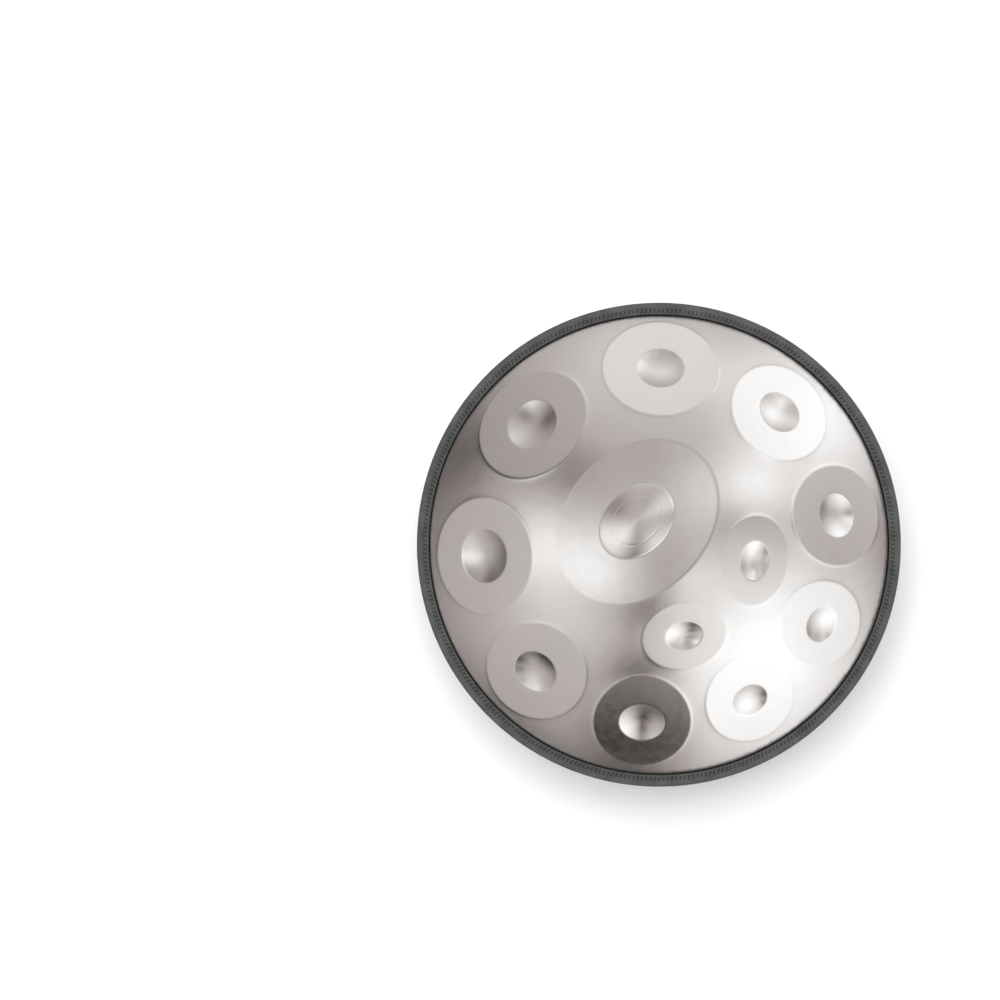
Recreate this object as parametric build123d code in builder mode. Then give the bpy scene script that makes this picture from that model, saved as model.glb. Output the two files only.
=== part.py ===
from build123d import *

import os
from collections import namedtuple
from math import asin, copysign, cos, radians, sin, sqrt

# Handpan: two drawn steel shells, bonded at their flanges and closed by a push-on edge trim.
#
# Frame: +Z up along the pan's axis, origin on that axis at the bottom, where the pan rests
# on the flat land round its gu port. The player sits towards -Y, where the lowest ring note
# lies. Bearings go round from there, positive towards +X. All sizes are in millimetres.

# Shells
steel = 1.2  # sheet thickness of both shells
dome_r = 365.0  # outside radius of both domes
dome_foot_r = 265.9  # where a dome's outside would meet its flange's outside, with no fillet
flange_fillet = 2.0  # outside radius between a dome and its flange
flange_r = 277.5  # edge of both flanges
bond = 0.4  # adhesive between the flanges

# Gu port, the sound hole in the lower shell
gu_r = 55.0  # bore of the neck
gu_roll = 9.0  # outside radius of the rolled lip
gu_neck_top = 34.0  # height of the neck's inner end above the land
land_r = 72.0  # outer edge of the flat land round the port

# Edge trim, and the steel carrier inside it
trim_r = 280.0  # half the pan's overall width
trim_lip_r = 266.8  # inner ends of the trim's legs
trim_leg = 2.4  # thickness of each leg
trim_outer_round = 2.3
trim_lip_round = 1.0
carrier_sheet = 0.5  # thickness of the carrier's strip
carrier_inset = 1.7  # from the lips to the carrier's ends
carrier_sectors = 43  # the carrier repeats in this many sectors
carrier_slots = 4  # slots in each leg of a sector, which let the strip bend round the rim
carrier_slot = 3.0  # width of each slot
carrier_spine = 2.4  # height of the web that the slots leave

# Notes: distance of the centre from the pan's axis, bearing, size of the tone field round
# the pan and along the radius, how much it is flattened (0 leaves the round dome and 1 a
# face that is flat along its shorter way), and the dimple's size the same two ways
Note = namedtuple("Note", "radius bearing width length flat dimple_width dimple_length")
ring_r = 205.0
inner_r = 104.0
field_flat = 0.85
ring_notes = [
    Note(ring_r, 0.0, 133, 128, field_flat, 60, 60),
    Note(ring_r, 46.6, 129, 128, field_flat, 62, 62),
    Note(ring_r, -46.6, 128, 129, field_flat, 55, 55),
    Note(ring_r, 88.3, 113, 127, field_flat, 51, 51),
    Note(ring_r, -88.3, 113, 122, field_flat, 51, 51),
    Note(ring_r, 127.0, 108, 126, field_flat, 52, 52),
    Note(ring_r, -127.0, 111, 123, field_flat, 50, 50),
    Note(ring_r, 163.0, 99, 115, field_flat, 42, 42),
    Note(ring_r, -163.0, 96, 112, field_flat, 42, 42),
]
inner_notes = [
    Note(inner_r, 146.0, 93, 76, field_flat, 42, 33),
    Note(inner_r, -146.0, 98, 78, field_flat, 44, 34),
]
ding = Note(42.0, 0.0, 200, 156, 0.36, 94, 72)
dimple_depth_ratio = 0.11  # depth of a sunk dimple over its mean diameter
ding_bulge = 4.5  # how far the ding's raised dimple stands out of its field

# Heights and radii that follow
dome_foot_z = sqrt(dome_r**2 - dome_foot_r**2)  # height of a dome's foot over its centre
lower_dome_z = sqrt(dome_r**2 - land_r**2)  # centre of the lower dome
lower_flange_z = lower_dome_z - dome_foot_z  # underside of the lower flange
bond_z = lower_flange_z + steel
upper_flange_z = bond_z + bond  # underside of the upper flange
upper_dome_z = upper_flange_z + steel - dome_foot_z  # centre of the upper dome
fillet_r = sqrt((dome_r + flange_fillet) ** 2 - (dome_foot_z + flange_fillet) ** 2)
to_fillet = Vector(fillet_r, dome_foot_z + flange_fillet) / (dome_r + flange_fillet)

# The upper dome is spun from a section that passes between two notes
seam = radians(-66.0)
seam_plane = Plane((0, 0, 0), x_dir=(cos(seam), sin(seam), 0), z_dir=(sin(seam), -cos(seam), 0))
cutter_margin = 4.0  # how far a cutter reaches past the outline that it makes
cutter_depth = 20.0  # and how far it reaches below the plane that touches the dome


def fall(radius, reach):
    """How far a sphere of this radius has fallen away, this far out from its top."""
    return radius - sqrt(radius**2 - reach**2)


def arc_radius(reach, drop):
    """Radius of the arc that falls by drop, this far out from its top."""
    return (reach**2 + drop**2) / (2 * drop)


def note_plane(note):
    """Plane that touches the upper dome at a note: X round the pan, Z straight out of it."""
    bearing = radians(note.bearing)
    tilt = asin(note.radius / dome_r)
    across = Vector(cos(bearing), sin(bearing), 0)
    out = Vector(sin(tilt) * sin(bearing), -sin(tilt) * cos(bearing), cos(tilt))
    return Plane(Vector(0, 0, upper_dome_z) + out * dome_r, x_dir=across, z_dir=out)


def field_drop(note):
    """Depth of a tone field's centre below the round dome."""
    return note.flat * fall(dome_r, min(note.width, note.length) / 2)


def field_radii(note):
    """Radii of a tone field along its X and Y, which meet the dome at its outline."""
    drop = field_drop(note)
    halves = (note.width / 2, note.length / 2)
    return [arc_radius(half, fall(dome_r, half) - drop) for half in halves]


def barrel(plane, tip, radius_x, radius_y, reach):
    """Solid of revolution like a barrel on its side, with these two radii at its tip, which
    lies on the plane's Z axis. Negative radii put the barrel below its tip."""
    bulge_along_x = abs(radius_x) <= abs(radius_y)
    if bulge_along_x:
        side = Plane(plane.origin, x_dir=plane.x_dir, z_dir=-plane.y_dir)
        bulge, girth = radius_x, radius_y
    else:
        side = Plane(plane.origin, x_dir=plane.y_dir, z_dir=plane.x_dir)
        bulge, girth = radius_y, radius_x
    end = tip + copysign(fall(abs(bulge), reach), bulge)
    centre = tip + girth
    with BuildPart() as body:
        with BuildSketch(side):
            with BuildLine():
                ThreePointArc((-reach, end), (0, tip), (reach, end))
                Polyline((reach, end), (reach, centre), (-reach, centre), (-reach, end))
            make_face()
        revolve(axis=Axis(side.from_local_coords(Vector(0, centre)), side.x_dir))
    return body.part


def block(note, width, length):
    """Block across the dome's surface at a note, which bounds what is pressed there."""
    with BuildPart(note_plane(note).offset(-cutter_depth)) as body:
        height = cutter_depth + cutter_margin
        Box(width, length, height, align=(Align.CENTER, Align.CENTER, Align.MIN))
    return body.part


def field_cutter(note, inset):
    """What is pressed away over a tone field, down to its flatter face."""
    width = note.width + 2 * cutter_margin
    length = note.length + 2 * cutter_margin
    radius_x, radius_y = field_radii(note)
    reach = max(width, length) / 2 + cutter_margin
    tip = -field_drop(note) - inset
    with BuildPart() as cutter:
        add(block(note, width, length))
        under = barrel(note_plane(note), tip, inset - radius_x, inset - radius_y, reach)
        add(under, mode=Mode.SUBTRACT)
    return cutter.part


def dimple_cutter(note, inset):
    """Body whose underside is the dish of a sunk dimple."""
    depth = dimple_depth_ratio * (note.dimple_width + note.dimple_length) / 2
    radius_x = arc_radius(note.dimple_width / 2, depth) + inset
    radius_y = arc_radius(note.dimple_length / 2, depth) + inset
    tip = -field_drop(note) - depth - inset
    plane = note_plane(note)
    if radius_x != radius_y:
        reach = max(note.dimple_width, note.dimple_length) / 2 + cutter_margin
        return barrel(plane, tip, radius_x, radius_y, reach)
    with BuildPart(plane.offset(tip + radius_x)) as cutter:
        Sphere(radius_x)
    return cutter.part


def ding_dimple(inset):
    """The ding's raised oval dimple, from its top down to inside the shell."""
    sizes = (ding.dimple_width, ding.dimple_length)
    drops = [
        ding_bulge + fall(field, size / 2) for field, size in zip(field_radii(ding), sizes)
    ]
    radius_x, radius_y = [arc_radius(size / 2, drop) for size, drop in zip(sizes, drops)]
    tip = ding_bulge - field_drop(ding) - inset
    width, length = (size + 2 * cutter_margin for size in sizes)
    with BuildPart() as body:
        add(block(ding, width, length))
        top = barrel(note_plane(ding), tip, inset - radius_x, inset - radius_y, width)
        add(top, mode=Mode.INTERSECT)
    return body.part


def dome_line(centre_z, up, inset, start_r):
    """Section of a dome and its flange fillet, at an inset from the outside, from start_r
    out to the flange. up is 1 for the upper dome and -1 for the lower one."""
    centre = Vector(0, centre_z)
    radius = dome_r - inset
    way = Vector(to_fillet.X, up * to_fillet.Y)
    start = Vector(start_r, up * sqrt(radius**2 - start_r**2))
    middle = (start.normalized() + way).normalized() * radius
    fillet_centre = centre + way * (dome_r + flange_fillet)
    fillet_way = (Vector(0, -up) - way).normalized()
    face = fillet_centre - Vector(0, up) * (flange_fillet + inset)
    ThreePointArc(centre + start, centre + middle, centre + way * radius)
    ThreePointArc(
        centre + way * radius, fillet_centre + fillet_way * (flange_fillet + inset), face
    )


def upper_form(inset):
    """The upper shell's outside as a full body, or its inside at an inset of one sheet.
    The outside carries the flange, and the inside ends where the flange turns flat."""
    edge_r = fillet_r if inset else flange_r
    face_z = upper_flange_z + steel - inset
    with BuildPart() as form:
        with BuildSketch(seam_plane):
            with BuildLine():
                dome_line(upper_dome_z, 1, inset, 0)
                top = (0, upper_dome_z + dome_r - inset)
                if not inset:
                    Polyline((fillet_r, face_z), (edge_r, face_z), (edge_r, upper_flange_z))
                Polyline((edge_r, upper_flange_z), (0, upper_flange_z), top)
            make_face()
        revolve(axis=Axis.Z)
        for note in [ding] + ring_notes + inner_notes:
            add(field_cutter(note, inset), mode=Mode.SUBTRACT)
        for note in ring_notes + inner_notes:
            add(dimple_cutter(note, inset), mode=Mode.SUBTRACT)
        add(ding_dimple(inset))
    return form.part


# Upper shell: dome, flange, ding, nine ring notes and two inner notes in one sheet
outside = upper_form(0)
inside = upper_form(steel)
with BuildPart() as top_shell:
    add(outside)
    add(inside, mode=Mode.SUBTRACT)

# Lower shell: flange, dome, flat land, rolled lip and inward neck, one sheet thick
with BuildPart() as bottom_shell:
    with BuildSketch(Plane.XZ):
        with BuildLine():
            dome_line(lower_dome_z, -1, 0, land_r)
            Line((fillet_r, lower_flange_z), (flange_r, lower_flange_z))
            Line((land_r, 0), (gu_r + gu_roll, 0))
            RadiusArc((gu_r + gu_roll, 0), (gu_r, gu_roll), gu_roll)
            Line((gu_r, gu_roll), (gu_r, gu_neck_top))
            offset(amount=steel, side=Side.LEFT)
        make_face()
    revolve(axis=Axis.Z)

# Adhesive ring between the flanges
with BuildPart() as bond_ring:
    with BuildSketch(Plane.XY.offset(bond_z)):
        Circle(flange_r)
        Circle(fillet_r, mode=Mode.SUBTRACT)
    extrude(amount=bond)


# Steel carrier: a strip bent to a U, slotted from both edges
joint_z = bond_z + bond / 2
carrier_web_r = (trim_r + flange_r + carrier_sheet) / 2
with BuildSketch(Plane.XZ) as carrier_section:
    with BuildLine():
        start_r = trim_lip_r + carrier_inset
        top_z = joint_z + bond / 2 + steel + (trim_leg + carrier_sheet) / 2
        low_z = 2 * joint_z - top_z
        Polyline((start_r, top_z), (carrier_web_r, top_z), (carrier_web_r, low_z), (start_r, low_z))
        offset(amount=carrier_sheet, side=Side.RIGHT)
    make_face()

slot_step = 360 / carrier_sectors / carrier_slots
slot_length = carrier_web_r - trim_lip_r
with BuildPart() as carrier_sector:
    with BuildSketch(Plane.XZ):
        add(carrier_section.sketch)
    revolve(axis=Axis.Z, revolution_arc=360 / carrier_sectors)
    for side in (-1, 1):
        with BuildSketch(Plane.XY.offset(joint_z + side * carrier_spine / 2)):
            middle_r = carrier_web_r - slot_length / 2
            angles = slot_step * carrier_slots
            with PolarLocations(middle_r, carrier_slots, slot_step / 2, angles, endpoint=False):
                Rectangle(slot_length, carrier_slot)
        extrude(amount=side * (trim_leg + steel), mode=Mode.SUBTRACT)

with BuildPart() as trim_carrier:
    with PolarLocations(0, carrier_sectors):
        add(carrier_sector.part)

# Edge trim: a push-on channel that grips both flanges, with the carrier moulded in
with BuildPart() as rim_trim:
    with BuildSketch(Plane.XZ) as trim_section:
        stack = 2 * steel + bond
        with Locations(((trim_r + trim_lip_r) / 2, joint_z)):
            Rectangle(trim_r - trim_lip_r, stack + 2 * trim_leg)
        corners = trim_section.vertices().group_by(Axis.X)
        fillet(corners[-1], trim_outer_round)
        fillet(corners[0], trim_lip_round)
        with Locations(((flange_r + trim_lip_r) / 2, joint_z)):
            Rectangle(flange_r - trim_lip_r, stack, mode=Mode.SUBTRACT)
        add(carrier_section.sketch, mode=Mode.SUBTRACT)
    revolve(axis=Axis.Z)

os.makedirs("parts", exist_ok=True)
for name, piece in {
    "top_shell": top_shell,
    "bottom_shell": bottom_shell,
    "bond_ring": bond_ring,
    "rim_trim": rim_trim,
    "trim_carrier": trim_carrier,
}.items():
    piece.part.label = name
    export_step(piece.part, f"parts/{name}.step")
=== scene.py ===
from collections import namedtuple
from math import acos, asin, atan2, cos, degrees, hypot, pi, radians, sin, sqrt

import bpy
import numpy as np
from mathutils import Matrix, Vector
from mathutils.geometry import delaunay_2d_cdt


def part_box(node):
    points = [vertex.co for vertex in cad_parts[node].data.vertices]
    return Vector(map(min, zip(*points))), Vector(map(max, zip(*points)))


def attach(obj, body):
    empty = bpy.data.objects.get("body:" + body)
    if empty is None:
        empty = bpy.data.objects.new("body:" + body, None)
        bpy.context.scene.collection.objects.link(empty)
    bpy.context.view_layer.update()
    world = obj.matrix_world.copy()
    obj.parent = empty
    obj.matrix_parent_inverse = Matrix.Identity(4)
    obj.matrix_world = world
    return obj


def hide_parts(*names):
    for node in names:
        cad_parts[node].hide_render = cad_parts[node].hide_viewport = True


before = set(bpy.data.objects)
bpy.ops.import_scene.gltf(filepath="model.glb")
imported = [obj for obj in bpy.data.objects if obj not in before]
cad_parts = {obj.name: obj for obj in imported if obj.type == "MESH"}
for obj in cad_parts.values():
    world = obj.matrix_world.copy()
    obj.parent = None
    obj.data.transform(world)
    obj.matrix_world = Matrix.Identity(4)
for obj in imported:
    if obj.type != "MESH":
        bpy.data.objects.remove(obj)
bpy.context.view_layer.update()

# The handpan lies on its gu port, +Z out of its ding side, the player towards -Y. Sizes are
# in millimetres, as in the design, and meshes are turned to metres when they are made.
MM = 0.001


def cad_size(node, axis):
    """Size of a CAD node along an axis, in millimetres."""
    low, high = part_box(node)
    return (high[axis] - low[axis]) / MM


def cad_low(node, axis):
    """Lowest coordinate of a CAD node along an axis, in millimetres."""
    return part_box(node)[0][axis] / MM


# Shells, as designed
steel = 1.2
dome_r = 365.0
dome_foot_r = 265.9
flange_fillet = 2.0
gu_r = 55.0
gu_roll = 9.0
gu_neck_top = 34.0
land_r = 72.0
flange_r = cad_size("top_shell", 0) / 2
upper_flange_z = cad_low("top_shell", 2)
lower_flange_top = cad_low("bond_ring", 2)
dome_foot_z = sqrt(dome_r**2 - dome_foot_r**2)
upper_dome_z = upper_flange_z + steel - dome_foot_z
lower_dome_z = sqrt(dome_r**2 - land_r**2)
fillet_r = sqrt((dome_r + flange_fillet) ** 2 - (dome_foot_z + flange_fillet) ** 2)
foot_r = fillet_r * dome_r / (dome_r + flange_fillet)  # where the dome gives way to its fillet

# Notes: distance from the pan's axis, bearing, tone field round the pan and along the
# radius, how far the field is flattened, the dimple's size the same two ways, how far the
# field stands out of the dome at its outline, how strong the painted shade is just outside
# that outline, and where round the note the painted shade is darkest
Note = namedtuple(
    "Note",
    "radius bearing width length flat dimple_width dimple_length step crease crease_turn",
    defaults=[0.15, 0.0, 0.0],
)
ring_r = 205.0
inner_r = 104.0
field_flat = 0.85
ring_notes = [
    Note(ring_r, 0.0, 133, 128, field_flat, 60, 60, 0.3, 0.95, 8),
    Note(ring_r, 46.6, 129, 128, field_flat, 62, 62),
    Note(ring_r, -46.6, 128, 129, field_flat, 55, 55),
    Note(ring_r, 88.3, 113, 127, field_flat, 51, 51),
    Note(ring_r, -88.3, 113, 122, field_flat, 51, 51),
    Note(ring_r, 127.0, 108, 126, field_flat, 52, 52),
    Note(ring_r, -127.0, 111, 123, field_flat, 50, 50),
    Note(ring_r, 163.0, 99, 115, field_flat, 42, 42),
    Note(ring_r, -163.0, 96, 112, field_flat, 42, 42),
]
inner_notes = [
    Note(inner_r, 146.0, 93, 76, field_flat, 42, 33, 0.15, 0.5, 187),
    Note(inner_r, -146.0, 98, 78, field_flat, 44, 34),
]
ding = Note(42.0, 0.0, 200, 156, 0.36, 94, 72, -0.3, 0.45, 128)
notes = ring_notes + inner_notes + [ding]
dimple_depth_ratio = 0.11
ding_bulge = 4.5
ding_inner_share = 0.66  # size of the ding dimple's inner oval over the dimple's

# Hammered detail that the design leaves out, and painted shade at some notes' outlines
step_width = 5.0  # a field's step falls to the dome over this width
dimple_edge = 0.3  # softness of a dimple's edge, in height
painted_shade_width = 1.6  # of the painted shade, each side of its middle
painted_shade_spread = 60.0  # degrees round the note, each side of the painted shade's darkest place
ding_groove = 0.35  # depth of the fine groove round the ding's dimple
groove_width = 0.9


def fall(radius, reach):
    """How far a sphere has fallen away, this far out from its top."""
    return radius - np.sqrt(np.maximum(radius**2 - reach**2, 0))


def arc_radius(reach, drop):
    """Radius of the arc that falls by drop, this far out from its top."""
    return (reach**2 + drop**2) / (2 * drop)


def mean_half(width, length):
    """Mean of an oval's two half sizes."""
    return (width + length) / 4


def smooth_step(x):
    """0 below 0, 1 above 1, and an even curve between."""
    x = np.clip(x, 0, 1)
    return x * x * (3 - 2 * x)


def note_axes(note):
    """Centre of a note on the round dome, and its axes: round the pan, towards the pan's
    middle, and straight out of the steel."""
    bearing = radians(note.bearing)
    tilt = asin(note.radius / dome_r)
    across = np.array([cos(bearing), sin(bearing), 0])
    out = np.array([sin(tilt) * sin(bearing), -sin(tilt) * cos(bearing), cos(tilt)])
    return np.array([0, 0, upper_dome_z]) + out * dome_r, across, np.cross(out, across), out


def field_height(note, u, v):
    """Height of a tone field over the plane that touches the dome at the note."""
    drop = note.flat * fall(dome_r, min(note.width, note.length) / 2)
    halves = (note.width / 2, note.length / 2)
    radius_u, radius_v = [arc_radius(half, fall(dome_r, half) - drop) for half in halves]
    return -drop - u**2 / (2 * radius_u) - v**2 / (2 * radius_v)


def note_height(note, u, v):
    """Height of the steel round a note, over the plane that touches the dome there."""
    dome = -fall(dome_r, np.hypot(u, v))
    place = np.hypot(2 * u / note.width, 2 * v / note.length)
    outside = (place - 1) * mean_half(note.width, note.length)
    field = field_height(note, u, v) + note.step
    height = dome + (field - dome) * (1 - smooth_step(outside / step_width))
    q = np.hypot(2 * u / note.dimple_width, 2 * v / note.dimple_length)
    if note is ding:
        return height + ding_relief(q)
    depth = dimple_depth_ratio * 2 * mean_half(note.dimple_width, note.dimple_length)
    dish = depth * (1 - q**2)
    return height - (dish + np.sqrt(dish**2 + dimple_edge**2)) / 2


def crease_shade(note, angles, outside):
    """How strong the painted shade on the steel is, this far outside a note's outline."""
    turn = (np.degrees(angles) - note.crease_turn + 180) % 360 - 180
    across = (outside - painted_shade_width) / painted_shade_width
    return note.crease * np.exp(-((turn / painted_shade_spread) ** 2) - across**2)


def ding_relief(q):
    """Height of the ding's dimple over its field, at a share q of the way to its outline:
    a sloped band, a fine line, and a low crown inside."""
    half = mean_half(ding.dimple_width, ding.dimple_length)
    rise = ding_bulge * (1 - q**2)
    crown = (rise + np.sqrt(rise**2 + dimple_edge**2)) / 2
    lines = 0
    for share, depth in ((1.0, ding_groove), (ding_inner_share, ding_groove / 2)):
        lines = lines + depth * np.exp(-(((q - share) * half / groove_width) ** 2))
    return crown - lines


# Meshes: each is a list of points in millimetres and a list of faces
patch_segments = 96
ding_segments = 144
rim_segments = 360
gu_segments = 320
fillet_steps = 6
lower_dome_steps = 60
roll_steps = 12
neck_steps = 6
dimple_shares = [0.15, 0.3, 0.45, 0.6, 0.72, 0.82, 0.9, 0.95, 0.98, 1.0, 1.02, 1.05, 1.1]
field_rings = 7
outline_offsets = [-3.0, -1.5, -0.5, 0.0, 0.5, 1.2, 2.0, 3.0, 4.0, 5.5]  # from a field's outline
web_pitch = 6.0
web_gap = 3.0  # least distance of a web point from a patch or the foot
merge_reach = 1e-6  # web points nearer than this are one point
steel_corner = 50.0  # steel bends sharper than this, in degrees, are shaded as corners
trim_corner = 60.0
dome_steel, dimple_steel = 0, 1  # material slots of the top shell


def ring_faces(inner, outer):
    """Quads between two closed rings of point numbers, facing up when they run anticlockwise."""
    around = range(len(inner))
    return [(inner[i - 1], outer[i - 1], outer[i], inner[i]) for i in around]


def groove_shares():
    """Places across and beside the ding's two fine grooves, as shares of its dimple."""
    width = groove_width / mean_half(ding.dimple_width, ding.dimple_length)
    return [share + width * step for share in (ding_inner_share, 1.0) for step in range(-2, 3)]


def note_rings(note):
    """Half sizes, round the pan and inward, of the oval rings that make up a note's patch,
    from its middle out, and how many of them lie in its dimple."""
    dimple = np.array([note.dimple_width, note.dimple_length]) / 2
    field = np.array([note.width, note.length]) / 2
    shares = sorted(dimple_shares + (groove_shares() if note is ding else []))
    dimple_part = [share * dimple for share in shares]
    outline = [(1 + offset / field.mean()) * field for offset in outline_offsets]
    steps = np.linspace(0, 1, field_rings + 2)[1:-1]
    between = [dimple_part[-1] * (1 - step) + outline[0] * step for step in steps]
    in_dimple = sum(share <= 1.0 for share in shares)
    return np.array(dimple_part + between + outline), in_dimple


def patch_reach(note):
    """Half sizes of a note's whole patch."""
    return note_rings(note)[0][-1]


def in_patch(note, x, y, margin=0.0):
    """Whether the dome's point over (x, y) lies in a note's patch, or within a margin of it."""
    centre, across, inward, _ = note_axes(note)
    z = upper_dome_z + np.sqrt(dome_r**2 - x**2 - y**2)
    place = np.stack([x, y, z], axis=-1) - centre
    half_u, half_v = patch_reach(note) + margin
    return np.hypot(place @ across / half_u, place @ inward / half_v) < 1


def web_points():
    """Points of the dome between the patches, on an even triangular grid."""
    count = int(foot_r / web_pitch) + 1
    steps = np.arange(-count, count + 1)
    i, j = np.meshgrid(steps, np.round(steps * 2 / sqrt(3)))
    x = (i + (j % 2) / 2).ravel() * web_pitch
    y = (j * sqrt(3) / 2).ravel() * web_pitch
    keep = np.hypot(x, y) < foot_r - web_gap
    x, y = x[keep], y[keep]
    for note in notes:
        keep = ~in_patch(note, x, y, web_gap)
        x, y = x[keep], y[keep]
    return np.stack([x, y], axis=-1)


class ShellMesh:
    """The top shell's outer skin: points, faces, each face's material slot, and for each
    point the way across its brush marks, its place along them, and how dark its painted shade is."""

    def __init__(self):
        self.points = []
        self.across = []
        self.brush = []
        self.shade = []
        self.faces = []
        self.slots = []

    def add_points(self, points, across, brush, shade=None):
        """Add points, and return their numbers."""
        first = len(self.points)
        self.shade += [0.0] * len(points) if shade is None else list(shade)
        self.points += [tuple(point) for point in points]
        self.across += [tuple(way) for way in across]
        self.brush += [tuple(place) for place in brush]
        return list(range(first, len(self.points)))

    def add_faces(self, faces, slot):
        """Add faces, each a tuple of point numbers, all of one material."""
        self.faces += faces
        self.slots += [slot] * len(faces)

    def add_pan_ring(self, radius, z):
        """A ring of points round the pan's axis, brushed round it."""
        angles = np.linspace(0, 2 * pi, rim_segments, endpoint=False)
        ways = np.stack([np.cos(angles), np.sin(angles), 0 * angles], axis=-1)
        brush = np.stack([radius + 0 * angles, np.cos(angles), np.sin(angles)], axis=-1)
        return self.add_points(ways * radius + [0, 0, z], ways, brush)

    def add_patch(self, note):
        """A note: rings of points from its middle to just outside its outline."""
        rings, in_dimple = note_rings(note)
        segments = ding_segments if note is ding else patch_segments
        angles = np.linspace(0, 2 * pi, segments, endpoint=False)
        centre, across, inward, out = note_axes(note)
        top = centre + out * note_height(note, 0.0, 0.0)
        middle = self.add_points([top], [across], [(0, 0, 0)])[0]
        ways = np.outer(np.cos(angles), across) + np.outer(np.sin(angles), inward)
        last = None
        for number, (half_u, half_v) in enumerate(rings):
            u, v = half_u * np.cos(angles), half_v * np.sin(angles)
            height = note_height(note, u, v)
            place = centre + np.outer(u, across) + np.outer(v, inward) + np.outer(height, out)
            brush = np.stack([np.hypot(u, v), np.cos(angles), np.sin(angles)], axis=-1)
            # painted shade, darkest just outside the outline on one side of the note
            outside = (2 * half_u / note.width - 1) * mean_half(note.width, note.length)
            shade = crease_shade(note, angles, outside)
            ring = self.add_points(place, ways, brush, shade)
            slot = dimple_steel if number < in_dimple else dome_steel
            if last is None:
                self.add_faces([(middle, ring[i - 1], ring[i]) for i in range(segments)], slot)
            else:
                self.add_faces(ring_faces(last, ring), slot)
            last = ring
        return last

    def add_web_points(self):
        """The web's free points, brushed round the pan's axis."""
        flat = web_points()
        z = upper_dome_z + np.sqrt(dome_r**2 - (flat**2).sum(axis=1))
        radius = np.hypot(*flat.T)
        ways = np.stack([flat[:, 0] / radius, flat[:, 1] / radius, 0 * radius], axis=-1)
        brush = np.stack([radius, ways[:, 0], ways[:, 1]], axis=-1)
        return self.add_points(np.column_stack([flat, z]), ways, brush)

    def add_web(self, loops, foot):
        """The round dome between the patches' outer rings and the foot ring."""
        borders = loops + [foot]
        known = sum(borders, []) + self.add_web_points()
        local = {number: place for place, number in enumerate(known)}
        edges = [(local[ring[i - 1]], local[ring[i]]) for ring in borders for i in range(len(ring))]
        spots = [Vector(self.points[number][:2]) for number in known]
        places, _, triangles, origins, _, _ = delaunay_2d_cdt(spots, edges, [], 0, merge_reach)
        numbers = [known[origin[0]] for origin in origins]
        corners = np.array([[places[corner][:] for corner in triangle] for triangle in triangles])
        x, y = corners.mean(axis=1).T
        covered = np.any([in_patch(note, x, y) for note in notes], axis=0)
        kept = [triangle for triangle, drop in zip(triangles, covered) if not drop]
        self.add_faces([tuple(numbers[k] for k in triangle) for triangle in kept], dome_steel)

    def add_flange(self, foot):
        """The fillet at the dome's foot, and the flat flange."""
        face_z = upper_flange_z + steel
        start = atan2(-(dome_foot_z + flange_fillet), -fillet_r)
        last = foot
        for angle in np.linspace(start, -pi / 2, fillet_steps + 1)[1:]:
            reach = fillet_r + flange_fillet * cos(angle)
            ring = self.add_pan_ring(reach, face_z + flange_fillet * (1 + sin(angle)))
            self.add_faces(ring_faces(last, ring), dome_steel)
            last = ring
        for radius in ((fillet_r + flange_r) / 2, flange_r):
            ring = self.add_pan_ring(radius, face_z)
            self.add_faces(ring_faces(last, ring), dome_steel)
            last = ring


def new_object(name, points, faces):
    """A smooth-shaded mesh object from points in millimetres."""
    mesh = bpy.data.meshes.new(name)
    mesh.from_pydata([tuple(np.array(point) * MM) for point in points], [], faces)
    mesh.shade_smooth()
    piece = bpy.data.objects.new(name, mesh)
    bpy.context.scene.collection.objects.link(piece)
    return piece


def set_point_vectors(mesh, name, vectors):
    """Keep a vector with each of a mesh's points, for its material to read."""
    attribute = mesh.attributes.new(name, "FLOAT_VECTOR", "POINT")
    attribute.data.foreach_set("vector", np.array(vectors, np.float32).ravel())


def set_point_values(mesh, name, values):
    """Keep a number with each of a mesh's points, for its material to read."""
    attribute = mesh.attributes.new(name, "FLOAT", "POINT")
    attribute.data.foreach_set("value", np.array(values, np.float32))


def thicken(piece):
    """Turn a shell's outer skin into a sheet of steel, its inner side and edges added."""
    sheet = piece.modifiers.new("sheet", "SOLIDIFY")
    sheet.thickness = steel * MM
    sheet.offset = -1
    depsgraph = bpy.context.evaluated_depsgraph_get()
    piece.data = bpy.data.meshes.new_from_object(piece.evaluated_get(depsgraph))
    piece.modifiers.clear()
    piece.data.set_sharp_from_angle(angle=radians(steel_corner))


def make_top_shell():
    """The upper shell: every note and dimple, the round dome between them, and the flange."""
    skin = ShellMesh()
    loops = [skin.add_patch(note) for note in notes]
    foot = skin.add_pan_ring(foot_r, upper_dome_z + sqrt(dome_r**2 - foot_r**2))
    skin.add_web(loops, foot)
    skin.add_flange(foot)
    piece = new_object("note_shell", skin.points, skin.faces)
    set_point_vectors(piece.data, "across_brush", skin.across)
    set_point_vectors(piece.data, "brush", skin.brush)
    # painted shade, kept with each point for the steel's colour
    set_point_values(piece.data, "crease", skin.shade)
    piece.data.materials.append(steel_material("satin_steel", 0.25, 0.19))
    piece.data.materials.append(steel_material("dimple_steel", 0.85, 0.19))
    piece.data.polygons.foreach_set("material_index", skin.slots)
    thicken(piece)
    return piece


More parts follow.
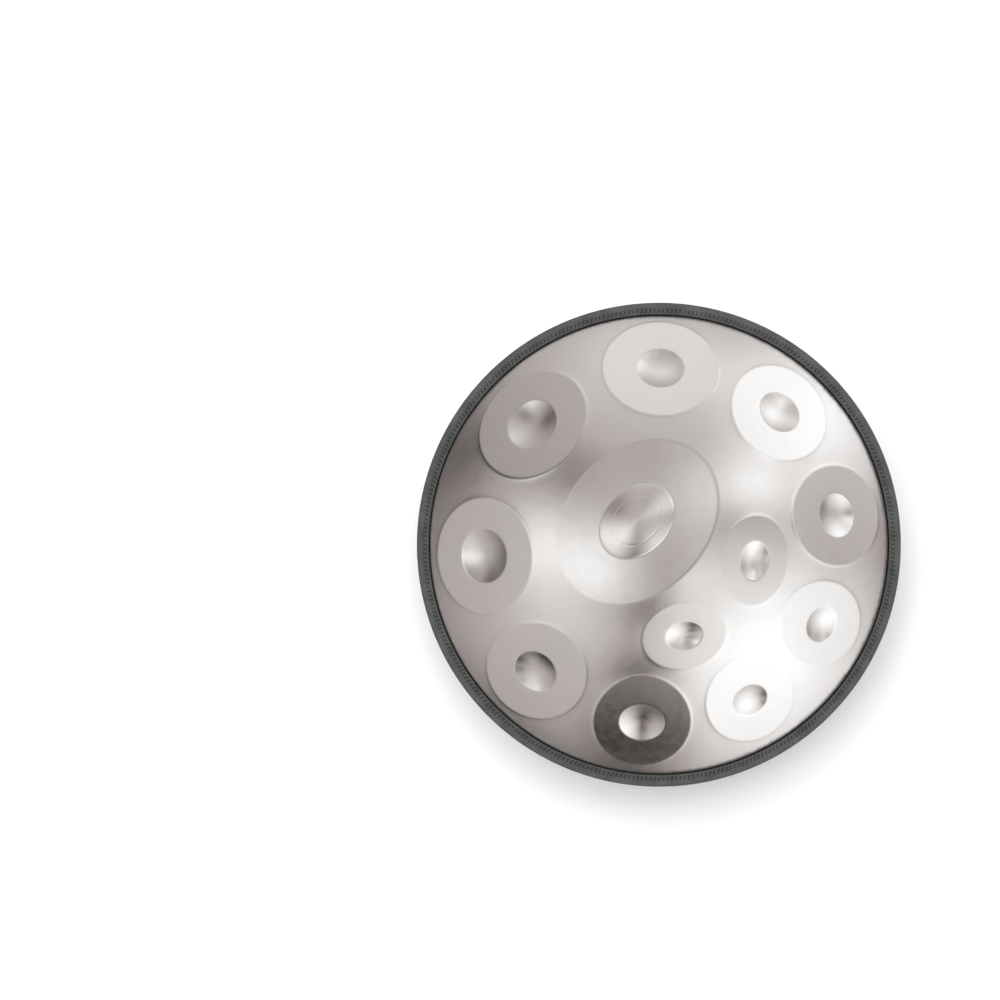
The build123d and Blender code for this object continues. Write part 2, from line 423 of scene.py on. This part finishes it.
def turned(name, section, segments, closed=False):
    """A piece turned about the pan's axis from a section of (radius, z) points. Its points
    know the way across the brush marks that turning leaves, and their place along them."""
    angles = np.linspace(0, 2 * pi, segments, endpoint=False)
    round_x, round_y = np.cos(angles), np.sin(angles)
    points, ways, brush = [], [], []
    along = 0.0
    for number, (radius, z) in enumerate(section):
        if number:
            along += hypot(radius - section[number - 1][0], z - section[number - 1][1])
        points += list(zip(radius * round_x, radius * round_y, z + 0 * angles))
        ways += list(zip(round_x, round_y, 0 * angles))
        brush += list(zip(along + 0 * angles, round_x, round_y))
    rings = [range(k * segments, (k + 1) * segments) for k in range(len(section))]
    faces = []
    for last, ring in zip(rings, rings[1:]):
        faces += ring_faces(last, ring)
    if closed:
        faces += ring_faces(rings[-1], rings[0])
    piece = new_object(name, points, faces)
    set_point_vectors(piece.data, "across_brush", ways)
    set_point_vectors(piece.data, "brush", brush)
    return piece


def arc_points(centre_r, centre_z, radius, start, end, steps):
    """Points of an arc in a section, angles in degrees, its first point left out."""
    angles = np.radians(np.linspace(start, end, steps + 1)[1:])
    return [(centre_r + radius * cos(a), centre_z + radius * sin(a)) for a in angles]


def make_bottom_shell():
    """The lower shell: flange, round dome, flat land, rolled lip and inward neck."""
    flange_z = lower_flange_top - steel
    fillet_z = flange_z - flange_fillet
    lean = degrees(atan2(dome_foot_z + flange_fillet, fillet_r))
    start, end = degrees(acos(foot_r / dome_r)), degrees(acos(land_r / dome_r))
    section = [(flange_r, flange_z), ((flange_r + fillet_r) / 2, flange_z), (fillet_r, flange_z)]
    section += arc_points(fillet_r, fillet_z, flange_fillet, 90, 180 - lean, fillet_steps)
    section += arc_points(0, lower_dome_z, dome_r, -start, -end, lower_dome_steps)
    section += [((land_r + gu_r + gu_roll) / 2, 0), (gu_r + gu_roll, 0)]
    section += arc_points(gu_r + gu_roll, gu_roll, gu_roll, -90, -180, roll_steps)
    section += [(gu_r, z) for z in np.linspace(gu_roll, gu_neck_top, neck_steps + 1)[1:]]
    piece = turned("gu_shell", section, gu_segments)
    piece.data.materials.append(steel_material("turned_steel", 0.4, 0.24))
    thicken(piece)
    return piece


# Edge trim: a channel over both flanges, its legs ribbed near their inner edges
trim_leg = 2.4
trim_outer_round = 2.3
trim_lip_round = 1.0
trim_lip_r = 266.8
trim_flat_points = 12
trim_round_steps = 4
rib_count = 344
rib_steps = 6  # points round the rim for each rib
rib_height = 0.5
rib_start, rib_end = 0.8, 7.2  # the ribbed band, out from the lip
rib_fade = 1.5  # the ribs rise and sink over this width at the band's two edges
rib_slant = 0.35  # share of a rib that the pattern turns by across the band
flat_tolerance = 0.01
seal_reach = 0.8  # a thin lip goes this much further in, down onto the shell
seal_drop = 1.6
seal_edge = 0.5
seal_start = trim_lip_r - 0.1  # inside this radius the trim is all seal, coloured near-black as a painted shadow line at the lip
thread_pitch = 4.2  # of the woven threads, across the trim


def trim_section():
    """Closed section of the trim: over the top, down the rim, back underneath, and inside."""
    low, high = cad_low("rim_trim", 2), cad_low("rim_trim", 2) + cad_size("rim_trim", 2)
    outer_r = cad_size("rim_trim", 0) / 2
    corner_r, lip_r = outer_r - trim_outer_round, trim_lip_r + trim_lip_round
    flat = np.linspace(lip_r, corner_r, trim_flat_points)
    upper_z, lower_z = high - trim_outer_round, low + trim_outer_round
    section = [(r, high) for r in flat]
    section += arc_points(corner_r, upper_z, trim_outer_round, 90, 0, trim_round_steps)
    section += arc_points(corner_r, lower_z, trim_outer_round, 0, -90, trim_round_steps)
    section += [(r, low) for r in flat[::-1]]
    seal_r = trim_lip_r - seal_reach
    section += [(trim_lip_r, low + trim_lip_round), (seal_r, low + seal_drop - seal_edge)]
    section += [(seal_r, low + seal_drop), (trim_lip_r, low + trim_leg)]
    section += [(flange_r, low + trim_leg), (flange_r, high - trim_leg)]
    section += [(trim_lip_r, high - trim_leg), (seal_r, high - seal_drop)]
    section += [(seal_r, high - seal_drop + seal_edge), (trim_lip_r, high - trim_lip_round)]
    return section


def press_ribs(mesh):
    """Sink the gaps between the ribs into the trim's top and bottom, and keep with each point
    how far down a gap it lies, which the trim's colour darkens as painted shade."""
    places = np.zeros(len(mesh.vertices) * 3)
    mesh.vertices.foreach_get("co", places)
    places = places.reshape(-1, 3) / MM
    x, y, z = places.T
    reach = np.hypot(x, y) - trim_lip_r
    turn = np.arctan2(y, x) / (2 * pi)
    rise = z - (z.min() + z.max()) / 2
    on_flat = np.abs(rise) > np.abs(rise).max() - flat_tolerance
    band = smooth_step((reach - rib_start) / rib_fade) * smooth_step((rib_end - reach) / rib_fade)
    wave = np.cos(2 * pi * (turn * rib_count + rib_slant * reach / rib_end))
    groove = on_flat * band * (1 - wave) / 2
    places[:, 2] -= np.sign(rise) * rib_height * groove
    mesh.vertices.foreach_set("co", (places * MM).ravel())
    set_point_values(mesh, "groove", groove)


def make_trim():
    """The edge trim, ribbed and woven."""
    piece = turned("rim_trim_woven", trim_section(), rib_count * rib_steps, closed=True)
    press_ribs(piece.data)
    piece.data.set_sharp_from_angle(angle=radians(trim_corner))
    piece.data.materials.append(trim_material())
    return piece


# Materials. Heights and places are in metres here, and colours are linear.
steel_tone = (0.76, 0.70, 0.675)
steel_shade = (0.70, 0.655, 0.64)
# colour of the painted shade at some notes' outlines
painted_shade_tone = (0.16, 0.145, 0.135)
mark_scale = (1.6, 2.5, 2.5)  # brush marks: cells per millimetre across, and per unit circle round
dent_depth = 0.0002
mark_depth = 0.00001
trim_shade = (0.017, 0.017, 0.017)
trim_tone = (0.092, 0.092, 0.091)
weave_depth = 0.0004
epoxy_shade = (0.10, 0.09, 0.075)
epoxy_tone = (0.20, 0.18, 0.15)
flow_depth = 0.0001
zinc_shade = (0.42, 0.43, 0.45)
zinc_tone = (0.60, 0.61, 0.62)
mottle_depth = 0.00003
floor_shade = (0.93, 0.93, 0.93)
floor_tone = (0.95, 0.95, 0.95)
noise_low, noise_high = 0.3, 0.7  # most of a noise lies between these


def add_node(tree, kind, inputs=(), **settings):
    """A new shader node. Each input is a value, or another node's output to join to it."""
    node = tree.nodes.new(kind)
    for setting, value in settings.items():
        setattr(node, setting, value)
    for socket, value in dict(inputs).items():
        if isinstance(value, bpy.types.NodeSocket):
            tree.links.new(value, node.inputs[socket])
        else:
            node.inputs[socket].default_value = value
    return node


def maths(tree, operation, *values):
    """Arithmetic on values and other nodes' outputs."""
    return add_node(tree, "ShaderNodeMath", enumerate(values), operation=operation).outputs[0]


def stretched(tree, vector, scale):
    """A vector with its three parts scaled."""
    inputs = {0: vector, 1: scale}
    return add_node(tree, "ShaderNodeVectorMath", inputs, operation="MULTIPLY").outputs[0]


def noise(tree, vector, scale, detail=3.0, roughness=0.5):
    """Noise over a vector, of this many cells to its unit."""
    inputs = {"Vector": vector, "Scale": scale, "Detail": detail, "Roughness": roughness}
    return add_node(tree, "ShaderNodeTexNoise", inputs).outputs[0]


def spread(tree, value, low, high):
    """A noise value turned into a range, with most of its contrast used."""
    inputs = {"Value": value, "From Min": noise_low, "From Max": noise_high}
    inputs |= {"To Min": low, "To Max": high}
    return add_node(tree, "ShaderNodeMapRange", inputs).outputs[0]


def mix_colours(tree, factor, first, second):
    """The first colour at a factor of 0, the second at 1."""
    node = add_node(tree, "ShaderNodeMix", {0: factor}, data_type="RGBA")
    for number, colour in ((6, first), (7, second)):
        if isinstance(colour, bpy.types.NodeSocket):
            tree.links.new(colour, node.inputs[number])
        else:
            node.inputs[number].default_value = (*colour, 1.0)
    return node.outputs[2]


def bumped(tree, height, distance, normal=None):
    """A normal from a height of 0 to 1, worth this many metres."""
    inputs = {"Height": height, "Distance": distance, "Strength": 1.0}
    if normal:
        inputs["Normal"] = normal
    return add_node(tree, "ShaderNodeBump", inputs).outputs[0]


def new_material(name):
    """A material with an empty tree, its Principled shader joined to the output."""
    material = bpy.data.materials.new(name)
    material.use_nodes = True
    tree = material.node_tree
    tree.nodes.clear()
    shader = tree.nodes.new("ShaderNodeBsdfPrincipled")
    output = tree.nodes.new("ShaderNodeOutputMaterial")
    tree.links.new(shader.outputs[0], output.inputs[0])
    return material, tree, shader


def join(tree, shader, **inputs):
    """Set a shader's inputs to values or other nodes' outputs, by names with _ for spaces."""
    for name, value in inputs.items():
        socket = shader.inputs[name.replace("_", " ")]
        if isinstance(value, bpy.types.NodeSocket):
            tree.links.new(value, socket)
        else:
            socket.default_value = value


def steel_material(name, anisotropy, roughness):
    """Heat-treated steel, brushed in circles: fine marks round the middle of each note or of
    the pan, faint patches of tone, slight unevenness from the hammer, and painted shade at some
    notes' outlines."""
    material, tree, shader = new_material(name)
    place = tree.nodes.new("ShaderNodeTexCoord").outputs["Object"]
    brush = add_node(tree, "ShaderNodeAttribute", attribute_name="brush").outputs["Vector"]
    across = add_node(tree, "ShaderNodeAttribute", attribute_name="across_brush").outputs["Vector"]
    patches = noise(tree, place, 14.0)
    marks = noise(tree, stretched(tree, brush, mark_scale), 1.0, detail=4.0, roughness=0.6)
    dents = noise(tree, place, 32.0, detail=2.0)
    smears = noise(tree, place, 90.0, detail=4.0)
    rough = maths(tree, "ADD", spread(tree, marks, -0.03, 0.03), spread(tree, smears, -0.02, 0.02))
    tone = maths(tree, "MULTIPLY_ADD", marks, 0.35, spread(tree, patches, 0.1, 0.55))
    clean = mix_colours(tree, tone, steel_tone, steel_shade)
    # painted shade at some notes' outlines, mixed into the base colour
    crease = add_node(tree, "ShaderNodeAttribute", attribute_name="crease").outputs["Fac"]
    normal = bumped(tree, dents, dent_depth)
    normal = bumped(tree, marks, mark_depth, normal)
    join(
        tree,
        shader,
        Base_Color=mix_colours(tree, crease, clean, painted_shade_tone),
        Metallic=1.0,
        Roughness=maths(tree, "ADD", rough, roughness),
        Anisotropic=anisotropy,
        Normal=normal,
        Tangent=across,
    )
    return material


def trim_material():
    """Woven charcoal binding: threads crossing at a slant, with a dull rubbery body, painted shade
    in the gaps between the ribs, and a painted shadow line on the seal.
    """
    material, tree, shader = new_material("trim_weave")
    place = tree.nodes.new("ShaderNodeTexCoord").outputs["Object"]
    split = add_node(tree, "ShaderNodeSeparateXYZ", {0: place})
    x, y, z = (split.outputs[axis] for axis in range(3))
    turn = maths(tree, "ARCTAN2", y, x)
    flat = maths(tree, "MULTIPLY", x, x)
    reach = maths(tree, "SQRT", maths(tree, "MULTIPLY_ADD", y, y, flat))
    rise = maths(tree, "SUBTRACT", reach, z)
    along = maths(tree, "MULTIPLY", turn, float(rib_count))
    over = maths(tree, "MULTIPLY", rise, 2 * pi / (thread_pitch * MM))
    leaning = maths(tree, "SINE", maths(tree, "ADD", along, over))
    crossing = maths(tree, "SINE", maths(tree, "SUBTRACT", along, over))
    weave = maths(tree, "MAXIMUM", leaning, crossing)
    fuzz = noise(tree, place, 900.0, detail=2.0)
    wear = noise(tree, place, 60.0, detail=4.0)
    height = maths(tree, "MULTIPLY_ADD", fuzz, 0.5, maths(tree, "MULTIPLY_ADD", weave, 0.5, 0.5))
    depth = add_node(tree, "ShaderNodeAttribute", attribute_name="groove").outputs["Fac"]
    tone = maths(tree, "MULTIPLY_ADD", weave, 0.22, spread(tree, wear, 0.3, 0.75))
    # painted shade: the gaps between the ribs are coloured darker
    tone = maths(tree, "MULTIPLY_ADD", depth, -0.6, tone)
    # painted shadow: the seal is coloured near-black as the shadow line at the lip
    painted_lip_shadow = maths(tree, "LESS_THAN", reach, seal_start * MM)
    tone = maths(tree, "SUBTRACT", tone, painted_lip_shadow)
    join(
        tree,
        shader,
        Base_Color=mix_colours(tree, tone, trim_shade, trim_tone),
        Roughness=spread(tree, wear, 0.62, 0.78),
        Normal=bumped(tree, height, weave_depth),
    )
    return material


def adhesive_material():
    """Dark cured epoxy, slightly glossy, with flow marks."""
    material, tree, shader = new_material("epoxy_bond")
    place = tree.nodes.new("ShaderNodeTexCoord").outputs["Object"]
    flow = noise(tree, place, 120.0)
    join(
        tree,
        shader,
        Base_Color=mix_colours(tree, flow, epoxy_shade, epoxy_tone),
        Roughness=spread(tree, flow, 0.25, 0.45),
        Normal=bumped(tree, flow, flow_depth),
    )
    return material


def carrier_material():
    """Rolled strip steel, zinc plated: a fine mottle and dull sheen."""
    material, tree, shader = new_material("carrier_strip")
    place = tree.nodes.new("ShaderNodeTexCoord").outputs["Object"]
    mottle = noise(tree, place, 400.0, detail=4.0)
    join(
        tree,
        shader,
        Base_Color=mix_colours(tree, mottle, zinc_shade, zinc_tone),
        Metallic=1.0,
        Roughness=spread(tree, mottle, 0.35, 0.55),
        Normal=bumped(tree, mottle, mottle_depth),
    )
    return material


def finish_cad_node(node, material):
    """Give a CAD node that keeps its own mesh a better material."""
    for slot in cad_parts[node].material_slots:
        slot.material = material
    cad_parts[node].data.shade_smooth()


# Studio: a soft surround with broad bright and dark panels, which the steel mirrors. Each is
# placed by its angle from straight up, its bearing from the picture's right-hand side, its
# spread, and how much it adds to the surround.
view_turn = 133.2  # bearing of the picture's right-hand side, from +X
surround = 0.82
darkest = 0.02
warm_shade = (0.83, 0.76, 0.735)  # tint of the surround's dark parts
cool_light = (0.75, 0.80, 0.815)  # and of its bright parts
tint_rate = 0.6  # how far the tint turns cool, for each unit of brightness
Panel = namedtuple("Panel", "from_top bearing spread gain")
panels = [
    Panel(62, -45, 25, 1.2),
    Panel(105, -50, 18, 0.3),
    Panel(75, 42, 15, 0.95),
    Panel(100, 35, 14, 0.65),
    Panel(42, 28, 9, 0.9),
    Panel(75, 90, 15, 0.5),
    Panel(42, 182, 11, 0.8),
    Panel(20, 195, 7, 0.9),
    Panel(22, 58, 6, 0.45),
    Panel(17, -45, 5, 0.35),
    Panel(46, -140, 10, 0.25),
    Panel(85, 152, 13, -0.5),
    Panel(55, 147, 8, -0.2),
    Panel(38, 140, 9, -0.45),
    Panel(108, 180, 18, -0.45),
    Panel(110, -130, 15, -0.7),
    Panel(26, 88, 7, -0.2),
    Panel(74, -93, 10, -0.95),
    Panel(100, -93, 12, -0.55),
    Panel(50, -95, 8, -0.9),
    Panel(25, -97, 7, -0.7),
    Panel(5, -90, 7, -0.3),
    Panel(72, 2, 9, -0.4),
    Panel(40, 8, 7, -0.75),
    Panel(28, 18, 6, -0.35),
    Panel(105, -2, 10, -0.45),
    Panel(180, 0, 38, -0.6),
]
lamp_up, lamp_left, lamp_height = 0.9, 0.5, 2.4  # metres
floor_half = 4000.0


def picture_axes():
    """Level directions towards the picture's right-hand side and its top."""
    turn = radians(view_turn)
    return Vector((cos(turn), sin(turn), 0)), Vector((-sin(turn), cos(turn), 0))


def make_surround():
    """The world: an even light with the panels added to it, warmer where it is dark."""
    world = bpy.data.worlds.new("studio")
    bpy.context.scene.world = world
    world.use_nodes = True
    tree = world.node_tree
    tree.nodes.clear()
    way = tree.nodes.new("ShaderNodeTexCoord").outputs["Generated"]
    total = surround
    for panel in panels:
        top, turn = radians(panel.from_top), radians(panel.bearing + view_turn)
        aim = (sin(top) * cos(turn), sin(top) * sin(turn), cos(top))
        dot = add_node(tree, "ShaderNodeVectorMath", {0: way, 1: aim}, operation="DOT_PRODUCT")
        sharpness = 1 / radians(panel.spread) ** 2
        power = maths(tree, "MULTIPLY_ADD", dot.outputs["Value"], sharpness, -sharpness)
        glow = maths(tree, "EXPONENT", power)
        total = maths(tree, "MULTIPLY_ADD", glow, panel.gain, total)
    light = maths(tree, "MAXIMUM", total, darkest)
    tint = mix_colours(tree, maths(tree, "MULTIPLY", light, tint_rate), warm_shade, cool_light)
    background = add_node(tree, "ShaderNodeBackground", {"Color": tint, "Strength": light})
    output = tree.nodes.new("ShaderNodeOutputWorld")
    tree.links.new(background.outputs[0], output.inputs[0])


def make_key_lamp():
    """A broad overhead lamp that lights the floor and trim but doesn't show in the steel."""
    lamp = bpy.data.lights.new("overhead", "AREA")
    lamp.size = 2.2
    lamp.energy = 60.0
    light = bpy.data.objects.new("overhead", lamp)
    right, up = picture_axes()
    light.location = up * lamp_up - right * lamp_left
    light.location.z = lamp_height
    light.rotation_euler = (-light.location).to_track_quat("-Z", "Y").to_euler()
    light.visible_glossy = False
    bpy.context.scene.collection.objects.link(light)


def make_floor():
    """A plain pale floor. The steel doesn't mirror it, but the surround's own lower half."""
    material, tree, shader = new_material("studio_floor")
    place = tree.nodes.new("ShaderNodeTexCoord").outputs["Object"]
    paper = noise(tree, place, 3.0)
    join(
        tree,
        shader,
        Base_Color=mix_colours(tree, paper, floor_shade, floor_tone),
        Roughness=0.9,
    )
    half = floor_half
    corners = [(-half, -half, 0), (half, -half, 0), (half, half, 0), (-half, half, 0)]
    floor = new_object("floor", corners, [(0, 1, 2, 3)])
    floor.data.materials.append(material)
    floor.visible_glossy = False


def make_camera():
    """Looking straight down from high over the pan, which lies right of and below the middle."""
    height, width = 3300.0, 1157.5  # above the flange, and across the picture there
    pan_right, pan_below = 183.8, 51.7
    right, up = picture_axes()
    data = bpy.data.cameras.new("camera")
    data.lens = data.sensor_width * height / width
    data.clip_end = 50.0
    camera = bpy.data.objects.new("camera", data)
    camera.location = (up * pan_below - right * pan_right) * MM
    camera.location.z = (height + upper_flange_z) * MM
    camera.rotation_euler = (0, 0, radians(view_turn))
    bpy.context.scene.collection.objects.link(camera)
    bpy.context.scene.camera = camera


for piece, node, slot in (
    (make_top_shell(), "top_shell", "brushed_steel"),
    (make_bottom_shell(), "bottom_shell", "brushed_steel"),
    (make_trim(), "rim_trim", "black_trim"),
):
    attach(piece, "root")
    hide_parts(node)
finish_cad_node("bond_ring", adhesive_material())
finish_cad_node("trim_carrier", carrier_material())

make_surround()
make_key_lamp()
make_floor()
make_camera()
bpy.context.scene.view_settings.view_transform = "Standard"
